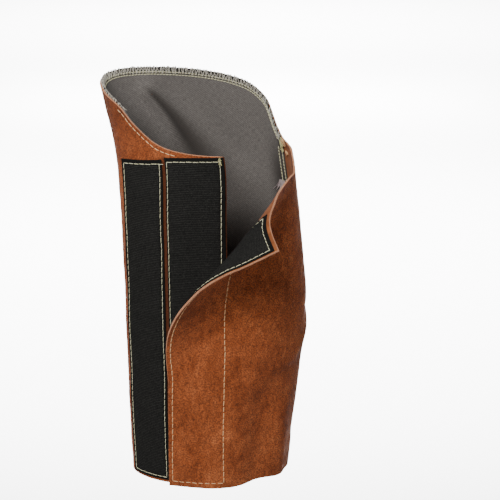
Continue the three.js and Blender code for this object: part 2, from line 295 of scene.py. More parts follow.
def waves(c, z, seed, shortest, longest, count):
    """Sum of count sines with wavelengths between the two given, in directions and phases drawn
    from the seed, each as high as its share of the longest, divided by the root of count."""
    draw = np.random.default_rng(seed)
    total = 0.0
    for _ in range(count):
        length = shortest * (longest / shortest) ** draw.random()
        turn, phase = draw.random(2) * 2 * np.pi
        along = c * np.cos(turn) + z * np.sin(turn)
        total = total + length / longest * np.sin(2 * np.pi / length * along + phase)
    return total / count ** 0.5


# Finer creases that only the finished cloth shows
CREASES = table("fromU fromZ toU toZ wide deep", [
    [0.64, 0.46, 0.7, 0.42, 0.05, -0.012],
    [0.66, 0.4, 0.73, 0.34, 0.07, 0.012],
    [0.72, 0.3, 0.79, 0.27, 0.05, -0.008],
])
PINCH_TOP, PINCH_BOTTOM = 0.96 * LENGTH, 0.72 * LENGTH
PINCH_LEAN = 0.83  # a distance square to the leaning crease, over the one along the columns
FURROW_DEPTH, RIDGE_HEIGHT = 3.4, 3.0
PINCH_LINE = GIRTH * np.array([0.359, 0.387, 0.413, 0.434, 0.4535, 0.472])


def pinch_place(c, z):
    """How far down the pinched crease a point lies, from 0 to 1, and how far beside its line."""
    t = (PINCH_TOP - z) / (PINCH_TOP - PINCH_BOTTOM)
    return t, (c - curve(np.linspace(0, 1, len(PINCH_LINE)), PINCH_LINE, t)) * PINCH_LEAN


def pinch(c, z):
    """The crease that runs down the lining from the top edge: along a line c(z), a furrow
    depth exp(-(d / width)^2), narrow at its top and wide where it fades out, with a ridge along its
    left. Gives how far the sheet moves out."""
    t, beside = pinch_place(c, z)
    wide = 1.9 + 8 * smooth(t) ** 1.5
    there = smooth(t / 0.12) * smooth((1.05 - t) / 0.5)
    furrow = (FURROW_DEPTH - t) * np.exp(-(beside / wide) ** 2)
    ridge = (RIDGE_HEIGHT - 0.6 * t) * np.exp(-((beside + 1.8 * wide) / (1.5 * wide)) ** 2)
    return there * (furrow - ridge)


def painted_lining_shade(c, z):
    """Painted shade on the lining's cloth: in the pinched crease, with a long fade to its right,
    where it turns in beside the seam, and deeper inside."""
    t, beside = pinch_place(c, z)
    wide = 2.2 + 11 * np.clip(t, 0, 1.2) ** 1.4
    beside = np.where(beside > 0, beside / 1.7, beside)
    # Painted shade: along the crease, where the cloth turns in beside the seam, and deep inside
    line = smooth(t / 0.12) * smooth((1.5 - t) / 0.7) * np.exp(-(beside / wide) ** 2)
    turn = smooth((c - LINING_END + 28) / 19) * smooth((0.87 * LENGTH - z) / (0.14 * LENGTH))
    painted_deep_shade = 0.75 * smooth((0.69 * LENGTH - z) / (0.14 * LENGTH))
    return np.maximum(line, np.maximum(turn, painted_deep_shade))


SOFT_WAVE, NORMAL_STEP = 0.45, 0.8


def off_sheet(c, z, out):
    """A point of the sheet, moved off it by out along its outward normal, with the soft waves and
    creases that all its plies share."""
    c, z, out = np.broadcast_arrays(*[np.asarray(a, float) for a in (c, z, out)])
    h, width = NORMAL_STEP, width_at(z)
    u = np.clip(column_u(c, z), 0, width)
    right = sheet_point(np.minimum(u + h, width), z) - sheet_point(np.maximum(u - h, 0), z)
    up = sheet_point(u, z + h) - sheet_point(u, z - h)
    soft = SOFT_WAVE * waves(c, z, 11, 26, 90, 9) + fold_depth(c, z, CREASES) + pinch(c, z)
    return sheet_point(u, z) + unit(np.cross(up, right)) * (out + soft)[..., None]


# Shader maths on sockets
class Link:
    """A socket of a recipe's nodes. Python's operators on it add Math nodes."""

    def __init__(self, recipe, socket):
        self.recipe, self.socket = recipe, socket

    def math(self, operation, *inputs):
        return self.recipe.node("ShaderNodeMath", {"operation": operation}, dict(enumerate(inputs)))

    def __add__(self, other): return self.math("ADD", self, other)
    def __sub__(self, other): return self.math("SUBTRACT", self, other)
    def __rsub__(self, other): return self.math("SUBTRACT", other, self)
    def __mul__(self, other): return self.math("MULTIPLY", self, other)
    def __truediv__(self, other): return self.math("DIVIDE", self, other)
    __radd__ = __add__

    def sin(self):
        return self.math("SINE", self)

    def clamp(self, low, high):
        """Rises from 0 at low to 1 at high, straight."""
        inputs = {"Value": self, "From Min": low, "From Max": high}
        return self.recipe.node("ShaderNodeMapRange", {}, inputs)


class Recipe:
    """A material being built from nodes."""

    def __init__(self, name):
        self.material = bpy.data.materials.new(name)
        self.material.use_nodes = True
        self.tree = self.material.node_tree
        self.tree.nodes.clear()

    def node(self, kind, settings=None, inputs=None, out=0):
        """Adds a node, sets its settings, then its sockets to values or Links, and gives an output."""
        node = self.tree.nodes.new(kind)
        for name, value in (settings or {}).items():
            if name == "stops":
                ramp = node.color_ramp
                while len(ramp.elements) < len(value):
                    ramp.elements.new(0.5)
                for element, (place, color) in zip(ramp.elements, value):
                    element.position, element.color = place, (*color, 1.0)
            else:
                setattr(node, name, value)
        for name, value in (inputs or {}).items():
            socket = node.inputs[name]
            if isinstance(value, Link):
                self.tree.links.new(value.socket, socket)
            else:
                socket.default_value = value
        return Link(self, node.outputs[out])

    def coords(self, kind="Object", scale=(1, 1, 1), turn=(0, 0, 0)):
        """Coordinates of a kind, turned and scaled."""
        spot = self.node("ShaderNodeTexCoord", out=kind)
        return self.node("ShaderNodeMapping", {}, {"Vector": spot, "Rotation": turn, "Scale": scale})

    def noise(self, where, scale, detail=3.0, rough=0.55, warp=0.0):
        return self.node("ShaderNodeTexNoise", {}, {"Vector": where, "Scale": scale, "Detail": detail,
                                                   "Roughness": rough, "Distortion": warp})

    def mix(self, share, low, high, blend="MIX"):
        """Colour from low to high by share, each a Link or a triple."""
        low, high = [(*c, 1.0) if isinstance(c, tuple) else c for c in (low, high)]
        settings = {"data_type": "RGBA", "blend_type": blend}
        return self.node("ShaderNodeMix", settings, {0: share, 6: low, 7: high}, 2)

    def bump(self, height, distance, strength=1.0, under=None):
        inputs = {"Height": height, "Distance": distance, "Strength": strength}
        if under is not None:
            inputs["Normal"] = under
        return self.node("ShaderNodeBump", {}, inputs)

    def uv_pair(self):
        """The two numbers of the UV map."""
        uv = self.coords("UV")
        return [self.node("ShaderNodeSeparateXYZ", {}, {0: uv}, axis) for axis in "XY"]

    def attribute(self, name):
        return self.node("ShaderNodeAttribute", {"attribute_name": name}, out="Fac")

    def finish(self, **inputs):
        """The surface: a Principled shader with the named inputs, underscores read as spaces."""
        named = {name.replace("_", " "): value for name, value in inputs.items()}
        shader = self.node("ShaderNodeBsdfPrincipled", {}, named)
        output = self.tree.nodes.new("ShaderNodeOutputMaterial")
        self.tree.links.new(shader.socket, output.inputs["Surface"])
        return self.material


def srgb(red, green, blue):
    """Colour of 0 to 255 parts as light: ((v + 0.055) / 1.055)^2.4, or v / 12.92 when dark."""
    v = np.array([red, green, blue]) / 255
    return tuple(float(x) for x in np.where(v > 0.04045, ((v + 0.055) / 1.055) ** 2.4, v / 12.92))


# Materials, whose pitches and bumps are in metres
TWILL_PITCH, TWIST_PITCH = 0.0021, 0.0011


def suede():
    """Split leather: cloudy brushed brown with a fine nap, a bare lighter cut edge and a plainer
    flesh side. The attributes edge and inside mark those two, and shade gives how much painted shade
    darkens it."""
    r = Recipe("suede")
    where = r.coords()
    cloud = r.noise(where, 16.0, 4.0, 0.6, 0.6)
    patch = r.noise(where, 62.0, 5.0, 0.62, 0.4)
    brushed = r.noise(r.coords(scale=(1.0, 1.0, 0.45), turn=(0.0, 0.5, 0.0)), 230.0, 4.0, 0.6)
    nap = r.noise(where, 900.0, 4.0, 0.7)
    tone = (cloud * 0.36 + patch * 0.34 + brushed * 0.3).clamp(0.36, 0.64)
    browns = [(0.0, srgb(124, 72, 44)), (0.38, srgb(158, 97, 62)),
              (0.7, srgb(180, 115, 76)), (1.0, srgb(200, 138, 96))]
    face = r.node("ShaderNodeValToRGB", {"stops": browns}, {"Fac": tone})
    flecks = nap.clamp(0.4, 0.6)
    face = r.mix(0.8, face, r.mix(flecks, srgb(88, 62, 44), srgb(196, 158, 124)), "OVERLAY")
    flesh = r.mix(patch.clamp(0.35, 0.65), srgb(116, 64, 34), srgb(156, 92, 52))
    face = r.mix(r.attribute("inside"), face, flesh)
    fibre = r.noise(where, 1500.0, 3.0, 0.7)
    bare = r.mix(fibre.clamp(0.35, 0.68), srgb(168, 106, 74), srgb(236, 176, 138))
    color = r.mix(r.attribute("edge"), face, bare)
    # Painted shade: the shade attribute mixes the colour towards this dark brown
    color = r.mix(r.attribute("shade"), color, srgb(66, 34, 20))
    soft = r.bump(patch, 0.0012, 0.35)
    hairs = r.bump(nap * 0.7 + fibre * 0.3, 0.0009, 0.9, soft)
    return r.finish(Base_Color=color, Roughness=0.86 + (nap - 0.5) * 0.2, Normal=hairs,
                    Sheen_Weight=0.06, Sheen_Roughness=0.5, Specular_IOR_Level=0.12)


def twill():
    """Grey cotton twill: fine slanted ribs from a sine across the weave, crossed by the slubs of its
    two sets of yarn, in a melange of lighter and darker yarn. A mesh attribute gives how much
    painted shade darkens it."""
    r = Recipe("twill")
    across, along = r.uv_pair()
    rib = ((across * 0.8 + along) * (2 * np.pi / TWILL_PITCH)).sin() * 0.5 + 0.5
    weft = r.noise(r.coords("UV", (0.12, 1.0, 1.0)), 2100.0, 2.0, 0.6)
    warp = r.noise(r.coords("UV", (1.0, 0.12, 1.0)), 2100.0, 2.0, 0.6)
    cloud = r.noise(r.coords(), 24.0, 3.0, 0.5)
    yarn = (weft * 0.5 + warp * 0.5).clamp(0.3, 0.7)
    color = r.mix(yarn, srgb(80, 76, 73), srgb(138, 133, 129))
    color = r.mix((1 - rib) * 0.45, color, srgb(56, 53, 51))
    color = r.mix(cloud.clamp(0.35, 0.65) * 0.12, color, srgb(104, 99, 94))
    # Painted shade: the attribute mixes the cloth towards this dark grey
    color = r.mix(r.attribute("bound"), color, srgb(58, 54, 51))
    relief = r.bump(rib * 0.5 + yarn * 0.5, 0.0003, 0.6)
    return r.finish(Base_Color=color, Roughness=0.92, Normal=relief,
                    Sheen_Weight=0.05, Specular_IOR_Level=0.1)


def ribbed_tape():
    """Black closing tape: near black pile with paler worn fibre on the ribs, plain at the selvage.
    The attribute rib is the height of the ribs, from 0 to 1."""
    r = Recipe("ribbed_tape")
    where = r.coords()
    lint = r.noise(where, 1400.0, 3.0, 0.75)
    patch = r.noise(where, 70.0, 4.0, 0.6)
    rib = r.attribute("rib")
    pale = (rib * 0.3 + lint + patch * 0.1 - 0.62).clamp(0.0, 0.6)
    color = r.mix(pale, srgb(19, 19, 18), srgb(74, 73, 70))
    relief = r.bump(lint, 0.0005, 0.7)
    return r.finish(Base_Color=color, Roughness=0.9, Normal=relief, Specular_IOR_Level=0.12)


def thread(name, dark, light):
    """Sewing thread: two twisted strands, as a slanted sine on the thread's own length and girth."""
    r = Recipe(name)
    along, across = r.uv_pair()
    twist = ((along / TWIST_PITCH + across) * (2 * np.pi)).sin() * 0.5 + 0.5
    fuzz = r.noise(r.coords(), 2600.0, 2.0)
    color = r.mix(twist * 0.6 + fuzz * 0.4, dark, light)
    relief = r.bump(twist, 0.0002, 0.7)
    return r.finish(Base_Color=color, Roughness=0.7, Normal=relief, Specular_IOR_Level=0.35)


SUEDE, TWILL, RIBBED_TAPE = suede(), twill(), ribbed_tape()
TAPE_THREAD = thread("tape_thread", srgb(206, 200, 150), srgb(255, 253, 226))
KNOT_THREAD = thread("knot_thread", srgb(132, 126, 76), srgb(240, 234, 178))
FLAP_THREAD = thread("flap_thread", srgb(206, 148, 98), srgb(250, 208, 160))
EDGE_THREAD = thread("edge_thread", srgb(240, 186, 134), srgb(255, 228, 184))
SERGE_THREAD = thread("serge_thread", srgb(138, 130, 114), srgb(252, 247, 234))
LINING_YARN = thread("lining_yarn", srgb(126, 110, 110), srgb(224, 206, 206))
CHAIN_THREAD = thread("chain_thread", srgb(178, 170, 124), srgb(255, 252, 218))


# Meshes
def make_piece(name, points, quads, material, uv, slot=None, **attributes):
    """Mesh object from points in millimetres and rows of four corners, smooth shaded, with a number
    for each point in each of the attributes."""
    mesh = bpy.data.meshes.new(name)
    quads = np.asarray(quads, np.int32)
    mesh.vertices.add(len(points))
    mesh.vertices.foreach_set("co", (np.asarray(points) * MM).astype(np.float32).ravel())
    mesh.loops.add(quads.size)
    mesh.loops.foreach_set("vertex_index", quads.ravel())
    mesh.polygons.add(len(quads))
    mesh.polygons.foreach_set("loop_start", np.arange(len(quads), dtype=np.int32) * 4)
    mesh.polygons.foreach_set("use_smooth", np.ones(len(quads), bool))
    layer = mesh.uv_layers.new(name="UVMap")
    layer.data.foreach_set("uv", uv[quads.ravel()].astype(np.float32).ravel())
    for key, values in attributes.items():
        attribute = mesh.attributes.new(key, "FLOAT", "POINT")
        attribute.data.foreach_set("value", values.astype(np.float32))
    mesh.update(calc_edges=True)
    mesh.validate()
    mesh.materials.append(material)
    piece = add(name, mesh)
    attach(piece, "root")
    return piece


RIM_STEPS = 5


def ply(name, columns, heights, inner, outer, material, slot, bulge, **attributes):
    """One ply as a closed body. Its two faces are the sheet at columns x heights, moved off by inner
    and outer; its cut edge is carried round the outline, from one face to the other, as
    mix(outer, inner, t) + bulge sqrt(1 - (2t - 1)^2) away from the ply. The attributes are painted
    on both faces, and on the cut edge where they are strong."""
    c, z = np.broadcast_arrays(columns[:, None], heights)
    shape = c.shape
    inner, outer = [np.broadcast_to(side, shape) for side in (inner, outer)]
    faces = [off_sheet(c, z, side) for side in (outer, inner)]
    index = np.arange(c.size).reshape(shape)
    loop = np.concatenate([index[:-1, 0], index[-1, :-1], index[:0:-1, -1], index[0, :0:-1]])
    inset = index[np.clip(loop // shape[1], 1, shape[0] - 2), np.clip(loop % shape[1], 1, shape[1] - 2)]
    flat = [face.reshape(-1, 3) for face in faces]
    away = unit(flat[0][loop] - flat[0][inset])
    rims = []
    for k in range(1, RIM_STEPS):
        t = k / RIM_STEPS
        swell = bulge * np.sqrt(1 - (2 * t - 1) ** 2)
        rims.append(flat[0][loop] * (1 - t) + flat[1][loop] * t + away * swell)
    points = np.concatenate([*flat, *rims])
    between = [2 * c.size + k * len(loop) + np.arange(len(loop)) for k in range(RIM_STEPS - 1)]
    rings = [loop, *between, loop + c.size]
    a, b = index[:-1, :-1].ravel(), index[1:, :-1].ravel()
    d, e = index[:-1, 1:].ravel(), index[1:, 1:].ravel()
    quads = [np.stack([a, d, e, b], -1), np.stack([a, b, e, d], -1) + c.size]
    for low, high in zip(rings[:-1], rings[1:]):
        quads.append(np.stack([low, np.roll(low, -1), np.roll(high, -1), high], -1))
    rim_count = len(points) - 2 * c.size
    uv_face = np.stack([c.ravel(), z.ravel()], -1) * MM
    uv = np.concatenate([uv_face, uv_face, np.tile(uv_face[loop], (RIM_STEPS - 1, 1))])
    edge = np.concatenate([np.zeros(2 * c.size), np.ones(rim_count)])
    edge[loop] = edge[loop + c.size] = 0.75
    inside = np.concatenate([np.zeros(c.size), np.ones(c.size), np.zeros(rim_count)])
    extra = {}
    for key, values in attributes.items():
        values = np.broadcast_to(values, shape).ravel()
        strong = np.where(values[loop] > 0.5, values[loop], 0)
        extra[key] = np.concatenate([values, values, np.tile(strong, RIM_STEPS - 1)])
    return make_piece(name, points, np.concatenate(quads), material, uv, slot,
                      edge=edge, inside=inside, **extra)


def stations(stops, step, fine):
    """Evenly spaced values between each two stops, no further apart than step, with a few closer
    ones just inside the ends."""
    parts = [np.linspace(a, b, max(int(np.ceil((b - a) / step)), 1) + 1)
             for a, b in zip(stops, stops[1:])]
    close = [[stops[0] + f, stops[-1] - f] for f in fine]
    return np.unique(np.round(np.concatenate(parts + close), 4))


def groove(distance, width):
    """The bell exp(-(distance / width)^2)."""
    return np.exp(-(distance / width) ** 2)


STITCH_INSET, TOP_INSET = 2.4, 3.5  # from a strip's edges to its rows of stitches
INNER_ASIDE = 1.1  # how far the rows of the inner strip are out of its middle
STITCH_PITCH = 5.35
TAPE_SUNK, ROW_SUNK = 0.15, 0.75  # a strip into the leather, and its rows of stitches into the strip
TAPE_LENGTH, SHEET_ROWS = 295.0, 150
EDGE_ROW = (41.0, 90.0)  # columns of the row of stitches along the front left top edge
PULL_WIDTH, EDGE_PULL_WIDTH, PULL_DEPTH = 1.6, 1.2, 0.38  # how rows draw the leather's face in
INNER_STRIP = (UNDERLAP_MARGIN, UNDERLAP_MARGIN + TAPE_WIDTH)
OUTER_STRIP = (INNER_STRIP[1] + TAPE_SPACING, INNER_STRIP[1] + TAPE_SPACING + OUTER_TAPE_WIDTH)
FLAP_STRIP = (GIRTH - FLAP_MARGIN - TAPE_WIDTH, GIRTH - FLAP_MARGIN)


def edge_row(c):
    """Height of the edge row, which follows the front left top edge and nears it to the right."""
    return top_edge(c) - 4.6 + 0.8 * smooth((62 - c) / 26)


def hem(c):
    """Height of the bottom edge, which was cut by hand and draws up a little at the front right."""
    return 0.5 + 0.35 * waves(c, 0, 23, 40, 160, 6) + 1.6 * groove(c - 383, 14)


def sheet_grid(stops, step, top):
    """Columns of a sheet between the stops, the same as an upright array c, and heights on each from
    the hem to top(c). Both are closer together next to the edges."""
    columns = stations(stops, step, (0.3, 0.8))
    share = stations([0.0, 1.0], 1 / SHEET_ROWS, (0.0012, 0.0035))
    c = columns[:, None]
    return columns, c, hem(c) + share * (top(c) - hem(c))


def leather_sheet():
    """The suede sheet. Its face sinks a little along the rows that hold the flap's strip and the
    hem row of the front left edge, and gathers between their stitches. Painted shade darkens it
    in the gaps beside the underlap's strips, and a lighter painted shade lies near the top of its left
    side."""
    stops = [0, *INNER_STRIP, *OUTER_STRIP, *FLAP_STRIP, GIRTH]
    columns, c, heights = sheet_grid(stops, 2.3, top_edge)
    left, right = FLAP_STRIP[0] + STITCH_INSET, FLAP_STRIP[1] - STITCH_INSET
    on_edge_row = (c > EDGE_ROW[0] - 3) * (c < EDGE_ROW[1] + 5)
    pull = groove(c - left, PULL_WIDTH) + groove(c - right, PULL_WIDTH)
    pull = pull + groove(edge_row(c) - heights, EDGE_PULL_WIDTH) * on_edge_row
    wander = 2 * waves(c, heights, 5, 20, 60, 4)
    gather = 0.12 * np.sin(2 * np.pi * heights / (3 * STITCH_PITCH) + wander)
    nap = 0.07 * waves(c, heights, 3, 5, 14, 12)
    outer = LEATHER + nap - pull * (PULL_DEPTH + gather)
    # Painted shade: dark in the gaps beside the underlap's strips, lighter near the top of the left side
    gap = (INNER_STRIP[1] + OUTER_STRIP[0]) / 2
    on_strips = (heights < strip_top(c) + 0.5) * (heights > HEM_MARGIN - 0.5)
    beside = np.maximum(c < INNER_STRIP[0] + 0.01, np.abs(c - gap) < TAPE_SPACING / 2 + 0.01)
    up = heights / LENGTH
    painted_shade_top_left = 0.3 * smooth((up - 0.84) / 0.1) + 0.12 * smooth((up - 0.8) / 0.03)
    shade = np.maximum(0.85 * on_strips * beside, painted_shade_top_left * (c < 0.3 * GIRTH))
    return ply("leather_sheet", columns, heights, 0.0, outer, SUEDE, "suede", 0.25, shade=shade)


SERGE_START, SERGE_PITCH = 86.0, 2.9  # overlock over the lining's top edge
SERGE_DEPTH, SERGE_OVER = 5.6, 1.4  # lengths of thread up the inside and over the edge
LINING_SHY = 0.7  # how far the lining ends below the leather's edge where it isn't overlocked


def lining_proud(c):
    """Height of the lining's edge over the leather's: above it where it is overlocked, else below."""
    return -LINING_SHY + (LINING_PROUD + LINING_SHY) * smooth((c - SERGE_START + 8) / 10)


SEAM_COLUMNS = (LINING_END - 7.0, LINING_END - 1.0)
LINING_FACE, LINING_BACK = PLY_GAP + LINING, 0.12


def lining_top(c):
    """Height of the lining's top edge at column c."""
    return top_edge(c) + lining_proud(c)


def lining_cloth():
    """The twill lining, a little proud of the leather's top edge, with its own fine slack. Painted
    shade darkens it under the overlock, between the seam's two rows, in the crease and deep inside."""
    columns, c, heights = sheet_grid([0, LINING_END], 2.2, lining_top)
    slack = 0.1 * waves(c, heights, 8, 6, 20, 10)
    # Painted shade under the overlock loops, in the crease, beside the seam and between the seam's rows
    bound = smooth((6.4 - lining_top(c) + heights) / 1.2) * (c > SERGE_START)
    bound = np.maximum(bound, 0.95 * painted_lining_shade(c, heights))
    bound = np.maximum(bound, 0.8 * (np.abs(c - sum(SEAM_COLUMNS) / 2) < 2.6))
    return ply("lining_cloth", columns, heights, slack - LINING_FACE, -LINING_BACK, TWILL, "twill",
               0.15, bound=bound)


RIB_PITCH, RIB_HEIGHT, SELVAGE_DROP, ROW_DROP = 1.55, 0.16, 0.35, 0.32


def strip(name, sides, base, front, seed, aside=0.0):
    """A closing strip. Between its rows of stitches, which lie aside of its middle, its front
    carries ribs across it, a sine of the height with a wandering phase, and along the rows it is
    drawn down to the leather."""
    rows = (sides[0] + STITCH_INSET + aside, sides[1] - STITCH_INSET + aside)
    columns = stations([sides[0], *rows, sides[1]], 1.9, (0.3, 0.9))
    c = columns[:, None]
    tops = strip_top(columns)[:, None]
    share = stations([0.0, 1.0], RIB_PITCH / 4 / TAPE_LENGTH, (0.001,))
    z = HEM_MARGIN + share * (tops - HEM_MARGIN)
    beside = np.minimum(c - sides[0] - aside, sides[1] - c + aside)
    inside = np.minimum(beside, np.minimum(z - HEM_MARGIN, tops - z - TOP_INSET + STITCH_INSET))
    field = smooth((inside - STITCH_INSET) / 1.2)
    wander = 0.9 * waves(c, z, seed, 9, 40, 8)
    wave = np.sin(2 * np.pi * z / RIB_PITCH + wander)
    broken = 0.82 + 0.18 * smooth(0.5 + 0.8 * waves(c, z, seed + 1, 2.5, 6, 10))
    rib = field * broken * (0.5 + 0.5 * wave)
    drawn = groove(inside - STITCH_INSET, 0.9)
    gather = 0.5 + 0.5 * np.sin(2 * np.pi * (z + c) / STITCH_PITCH)
    height = TAPE - SELVAGE_DROP * (1 - field) + RIB_HEIGHT * rib - drawn * (ROW_DROP + 0.14 * gather)
    near, far = base, base + front * height
    inner, outer = (near, far) if front > 0 else (far, near)
    return ply(name, columns, z, inner, outer, RIBBED_TAPE, "ribbed_tape", 0.1, rib=rib)


leather = leather_sheet()
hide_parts("leather_shell")
lining = lining_cloth()
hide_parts("lining")
strips = [
    strip("hook_tape_inner", INNER_STRIP, LEATHER - TAPE_SUNK, 1, 20, INNER_ASIDE),
    strip("hook_tape_outer", OUTER_STRIP, LEATHER - TAPE_SUNK, 1, 30),
    strip("loop_tape", FLAP_STRIP, TAPE_SUNK, -1, 40),
]
for piece, node in zip(strips, ("hook_strip_inner", "hook_strip_outer", "loop_strip")):
    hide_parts(node)


# Thread
def tubes(name, centres, outward, radius, material):
    """Tubes round paths, given as tubes x steps x 3: six-sided rings of the given radius square to
    each path, with flat closed ends."""
    n, m, _ = centres.shape
    sides = 6
    along = unit(np.gradient(centres, axis=1))
    outward = unit(outward - along * (outward * along).sum(-1, keepdims=True))
    across = np.cross(along, outward)
    angle = np.arange(sides) / sides * 2 * np.pi
    circle = across[:, :, None] * np.cos(angle)[:, None] + outward[:, :, None] * np.sin(angle)[:, None]
    points = centres[:, :, None] + circle * np.broadcast_to(radius, (n, m))[:, :, None, None]
    index = np.arange(n * m * sides).reshape(n, m, sides)
    a, b = index[:, :-1], index[:, 1:]
    walls = np.stack([a, b, np.roll(b, -1, 2), np.roll(a, -1, 2)], -1).reshape(-1, 4)
    ends = [index[:, end][:, list(corners)] for end, corners in (
        (0, (0, 1, 2, 3)), (0, (0, 3, 4, 5)), (-1, (0, 3, 2, 1)), (-1, (0, 5, 4, 3)))]
    steps = np.linalg.norm(np.diff(centres, axis=1), axis=-1)
    run = np.concatenate([np.zeros((n, 1)), np.cumsum(steps, 1)], 1)
    uv = np.stack(np.broadcast_arrays(run[:, :, None] * MM, np.arange(sides) / sides), -1)
    quads = np.concatenate([walls, *ends])
    return make_piece(name, points.reshape(-1, 3), quads, material, uv.reshape(-1, 2))


def spots(c, z, out):
    """Points off the sheet, with the outward directions there."""
    low, high = off_sheet(c, z, out), off_sheet(c, z, out + 1.0)
    return low, unit(high - low)


def stitches(name, rows, material, radius, share, seed, pitch=STITCH_PITCH):
    """Rows of stitches. Along its row each stitch is a low arch, height 0.8 radius - 1.1 t^10 for t
    from -1 to 1, that dives into the ply at both ends, a little slanted and out of line. It takes
    up the given share of the pitch."""
    draw = np.random.default_rng(seed)
    t = np.sin(np.linspace(-1, 1, 7) * np.pi / 2)
    centres, outward = [], []
    for c, z, face, side in rows:
        c, z = np.broadcast_arrays(np.asarray(c, float), np.asarray(z, float))
        run = run_length(np.stack([c, z], -1))
        count = max(int(round(run[-1] / pitch)), 1)
        chance = draw.random((3, count, 1)) - 0.5
        s = (np.arange(count)[:, None] + 0.5 + 0.5 * t * (share + 0.1 * chance[0])) * run[-1] / count
        dc, dz = [np.interp(s + 1, run, v) - np.interp(s - 1, run, v) for v in (c, z)]
        stretch = np.hypot(dc, dz)
        aside = 0.22 * chance[1] + (0.12 + 0.1 * chance[2]) * t
        height = face + radius * 0.8 - 1.1 * t ** 10
        low, normal = spots(np.interp(s, run, c) - aside * dz / stretch,
                            np.interp(s, run, z) + aside * dc / stretch, side * height)
        centres.append(low)
        outward.append(normal * side)
    return tubes(name, np.concatenate(centres), np.concatenate(outward), radius, material)


ROW_POINTS = 12


def strip_rows(sides, face, side, overrun=0.0, aside=0.0):
    """The four rows round a strip, aside of its middle. The top row may run on past the first side."""
    left, right = sides[0] + STITCH_INSET + aside, sides[1] - STITCH_INSET + aside
    across = np.linspace(left, right, ROW_POINTS)
    top, bottom = strip_top(across) - TOP_INSET, HEM_MARGIN + STITCH_INSET
    up_left, up_right = [np.linspace(bottom, end, ROW_POINTS) for end in (top[0], top[-1])]
    wave = 0.35 * waves(0, up_left, 17 + int(left), 30, 120, 4)
    return [
        (left + wave, up_left, face, side),
        (right + wave[::-1], up_right, face, side),
        (np.append(left - overrun, across), np.append(top[0], top), face, side),
        (across, bottom, face, side),
    ]


TAPE_FACE = LEATHER - TAPE_SUNK + TAPE - ROW_SUNK
LEATHER_FACE = LEATHER - 0.4  # under a row of stitches, which draws the leather in
SEAM_TOP = top_edge(LINING_END)


def seam_rows(face, side):
    """The seam's two rows, from the bottom edge to below the overlock."""
    return [(column, np.linspace(0.6, SEAM_TOP - 7, 40), face, side) for column in SEAM_COLUMNS]


underlap_rows = (strip_rows(INNER_STRIP, TAPE_FACE, 1, aside=INNER_ASIDE)
                 + strip_rows(OUTER_STRIP, TAPE_FACE, 1, overrun=3.8))
stitches("tape_stitches", underlap_rows, TAPE_THREAD, 0.28, 0.97, 2)
flap_inner_rows = strip_rows(FLAP_STRIP, TAPE - TAPE_SUNK - ROW_SUNK, -1)
stitches("flap_inner_stitches", flap_inner_rows, TAPE_THREAD, 0.28, 0.9, 3)
flap_outer_rows = strip_rows(FLAP_STRIP, LEATHER_FACE, 1)
stitches("flap_outer_stitches", flap_outer_rows, FLAP_THREAD, 0.42, 0.82, 4, pitch=5.6)
edge_columns = np.linspace(*EDGE_ROW, 30)
edge_rows = [(edge_columns, edge_row(edge_columns), LEATHER_FACE, 1)]
stitches("edge_stitches", edge_rows, EDGE_THREAD, 0.3, 0.84, 5, pitch=4.6)
stitches("seam_outer_stitches", seam_rows(LEATHER - 0.1, 1), FLAP_THREAD, 0.4, 0.78, 10)
stitches("seam_stitches", seam_rows(LINING_FACE, -1), CHAIN_THREAD, 0.36, 0.76, 6, pitch=2.9)


def serging(name, slant, shift, radius, seed):
    """Loops over the lining's top edge. Each rises inside from SERGE_DEPTH below the edge, goes over
    it in a half circle, and ends on the outside, moving along the edge by slant on the way. Their
    spacing, slant, depth and height over the edge all vary."""
    draw = np.random.default_rng(seed)
    first = np.arange(SERGE_START, LINING_END - 4, SERGE_PITCH)[:, None] + shift
    vary = draw.random((4, *first.shape)) - 0.5
    first = first + 0.9 * vary[0]
    q = np.concatenate([np.linspace(0, SERGE_DEPTH, 8), SERGE_DEPTH + SERGE_OVER * np.linspace(0.2, 1, 5),
                        [SERGE_DEPTH + SERGE_OVER + 0.5]])
    turn = np.clip((q - SERGE_DEPTH) / SERGE_OVER, 0, 1) * np.pi
    below = np.maximum(SERGE_DEPTH - q, 0) + np.maximum(q - SERGE_DEPTH - SERGE_OVER, 0)
    below = below - (0.7 + 0.9 * vary[1]) * np.sin(turn)
    middle, half = -0.5 * (LINING_FACE + LINING_BACK), 0.5 * (LINING_FACE - LINING_BACK) + radius * 0.8
    out = middle - half * np.cos(turn) + 0.5 * groove(q, 0.5)
    c = first + (slant + 1.1 * vary[2]) * np.sin(np.clip(q / SERGE_DEPTH, 0, 1) * np.pi / 2)
    c = c + 0.35 * np.sin(2.2 * q + 9 * vary[3])
    z = top_edge(c) + LINING_PROUD - below * (1 + 0.16 * vary[3])
    low, normal = spots(c, z, out)
    return tubes(name, low, np.where(turn[:, None] < np.pi / 2, -normal, normal), radius, SERGE_THREAD)


serging("overlock_needle_thread", 1.9, 0.0, 0.36, 7)
serging("overlock_looper_thread", -1.3, 1.2, 0.28, 8)
chain_columns = np.linspace(SERGE_START, LINING_END - 7, 120)
chain_rows = [(chain_columns, top_edge(chain_columns) + LINING_PROUD - SERGE_DEPTH - gap,
               LINING_FACE - 0.1, -1) for gap in (-1.2, 1.1)]
stitches("overlock_chain", chain_rows, CHAIN_THREAD, 0.38, 0.76, 9, pitch=2.8)


